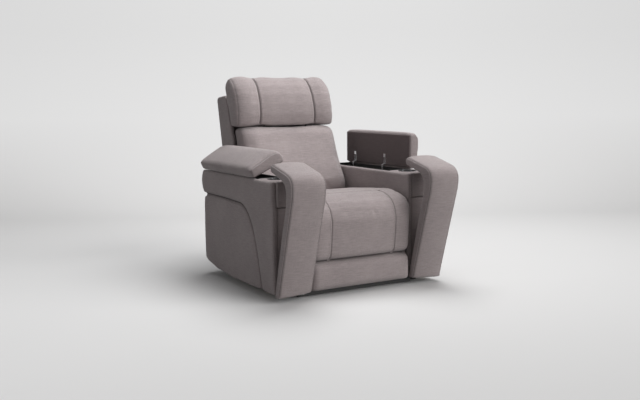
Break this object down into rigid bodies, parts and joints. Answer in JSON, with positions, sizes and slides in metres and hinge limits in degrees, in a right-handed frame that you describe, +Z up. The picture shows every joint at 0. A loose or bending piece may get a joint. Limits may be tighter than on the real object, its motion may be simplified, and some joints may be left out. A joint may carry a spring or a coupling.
{
  "type": "power recliner seat",
  "caption": "Upholstered power recliner seat with curved arm fronts, cup holders, lidded storage arms, tilting headrest and fold-out footrest.",
  "frame": {"origin": "centre of the rectangle of four floor bolt holes, on the floor", "axes": "+Z up, -Y the way the sitter faces, +X to the right as seen from the front"},
  "size_m": [0.9959, 1.216, 1.054],
  "materials": {
    "upholstery": "woven, matt",
    "liner_cloth": "dark woven liner",
    "black_steel": "black powder coat",
    "black_plastic": "matt",
    "grey_plastic": "matt",
    "zinc_steel": "zinc plated",
    "plywood": "raw plywood",
    "dark_steel": "dark brushed",
    "polished_steel": "polished"
  },
  "bodies": {
    "base": {"base_frame": "black_steel", "side_plates": "zinc_steel", "plinth": "black_plastic", "glides": "black_plastic", "seat_frame": "black_steel", "seat_springs": "zinc_steel", "seat_cushion": "upholstery", "seat_front_roll": "upholstery", "arm_frame_left": "plywood", "arm_upper_panel_left": "upholstery", "arm_lower_panel_left": "upholstery", "arm_inner_panel_left": "upholstery", "arm_rear_pad_left": "upholstery", "arm_cap_left": "upholstery", "arm_front_pad_left": "upholstery", "arm_band_left": "upholstery", "storage_bin_left": "black_plastic", "cup_holder_left": "dark_steel", "arm_frame_right": "plywood", "arm_upper_panel_right": "upholstery", "arm_lower_panel_right": "upholstery", "arm_inner_panel_right": "upholstery", "arm_rear_pad_right": "upholstery", "arm_cap_right": "upholstery", "arm_front_pad_right": "upholstery", "arm_band_right": "upholstery", "storage_bin_right": "black_plastic", "cup_holder_right": "dark_steel", "band_brackets": "zinc_steel", "lid_brackets": "polished_steel", "rear_panel": "black_plastic", "power_supply": "black_plastic", "power_inlet": "grey_plastic", "footrest_actuator": "black_steel", "recline_actuator": "black_steel", "switch_plate": "black_plastic"},
    "lid_left": {"lid_pad_left": "upholstery", "lid_liner_left": "liner_cloth", "lid_hinges_left": "polished_steel"},
    "lid_right": {"lid_pad_right": "upholstery", "lid_liner_right": "liner_cloth", "lid_hinges_right": "polished_steel"},
    "footrest": {"footrest_board": "liner_cloth", "footrest_upper_pad": "upholstery", "footrest_lower_pad": "upholstery", "footrest_arms": "zinc_steel"},
    "footrest_carriage": {"footrest_carriage": "grey_plastic"},
    "footrest_link": {"footrest_link": "zinc_steel"},
    "recline_carriage": {"recline_carriage": "grey_plastic"},
    "recline_link": {"recline_link": "zinc_steel"},
    "back": {"back_board": "liner_cloth", "back_cushion": "upholstery", "back_shell": "upholstery", "headrest_actuator": "black_steel"},
    "headrest": {"headrest_plate": "black_steel", "headrest_cushion": "upholstery"},
    "button_recline": {"button_recline": "polished_steel"},
    "button_upright": {"button_upright": "polished_steel"},
    "button_head_up": {"button_head_up": "polished_steel"},
    "button_head_down": {"button_head_down": "polished_steel"}
  },
  "joints": [
    {"name": "left_lid_hinge", "type": "hinge", "parent": "base", "child": "lid_left", "pos_m": [-0.4585, 0.0875, 0.5775], "axis": [0, -1, 0], "range_deg": [-24.5, 65.5]},
    {"name": "right_lid_hinge", "type": "hinge", "parent": "base", "child": "lid_right", "pos_m": [0.4585, 0.0875, 0.5775], "axis": [0, 1, 0], "range_deg": [-90, 0]},
    {"name": "footrest_hinge", "type": "hinge", "parent": "base", "child": "footrest", "pos_m": [0, -0.402, 0.395], "axis": [-1, 0, 0], "range_deg": [0, 85], "deforming": ["seat_front_roll"]},
    {"name": "footrest_carriage_slide", "type": "slide", "parent": "base", "child": "footrest_carriage", "axis": [0, -1, 0], "range_m": [0, 0.15303]},
    {"name": "footrest_link_pivot", "type": "hinge", "parent": "footrest_carriage", "child": "footrest_link", "pos_m": [0.07, -0.17713, 0.25], "axis": [-1, 0, 0], "range_deg": [0, 19.64]},
    {"name": "back_recline", "type": "hinge", "parent": "base", "child": "back", "pos_m": [0, 0.23, 0.3], "axis": [-1, 0, 0], "range_deg": [0, 42]},
    {"name": "recline_carriage_slide", "type": "slide", "parent": "base", "child": "recline_carriage", "axis": [0, -1, 0], "range_m": [0, 0.06409]},
    {"name": "recline_link_pivot", "type": "hinge", "parent": "recline_carriage", "child": "recline_link", "pos_m": [-0.07, 0.03, 0.19], "axis": [1, 0, 0], "range_deg": [0, 13.87]},
    {"name": "headrest_tilt", "type": "hinge", "parent": "back", "child": "headrest", "pos_m": [0, 0.33, 0.772], "axis": [1, 0, 0], "range_deg": [0, 30]},
    {"name": "button_recline_press", "type": "slide", "parent": "base", "child": "button_recline", "axis": [-1, 0, 0], "range_m": [0, 0.002], "stiffness_N_per_m": 400},
    {"name": "button_upright_press", "type": "slide", "parent": "base", "child": "button_upright", "axis": [-1, 0, 0], "range_m": [0, 0.002], "stiffness_N_per_m": 400},
    {"name": "button_head_up_press", "type": "slide", "parent": "base", "child": "button_head_up", "axis": [-1, 0, 0], "range_m": [0, 0.002], "stiffness_N_per_m": 400},
    {"name": "button_head_down_press", "type": "slide", "parent": "base", "child": "button_head_down", "axis": [-1, 0, 0], "range_m": [0, 0.002], "stiffness_N_per_m": 400}
  ],
  "couplings": [
    {"joint": "footrest_carriage_slide", "follows": "footrest_hinge", "m_per_rad": 0.10281},
    {"joint": "footrest_link_pivot", "follows": "footrest_hinge", "ratio": 0.22515},
    {"joint": "recline_carriage_slide", "follows": "back_recline", "m_per_rad": 0.08674},
    {"joint": "recline_link_pivot", "follows": "back_recline", "ratio": 0.31844}
  ]
}
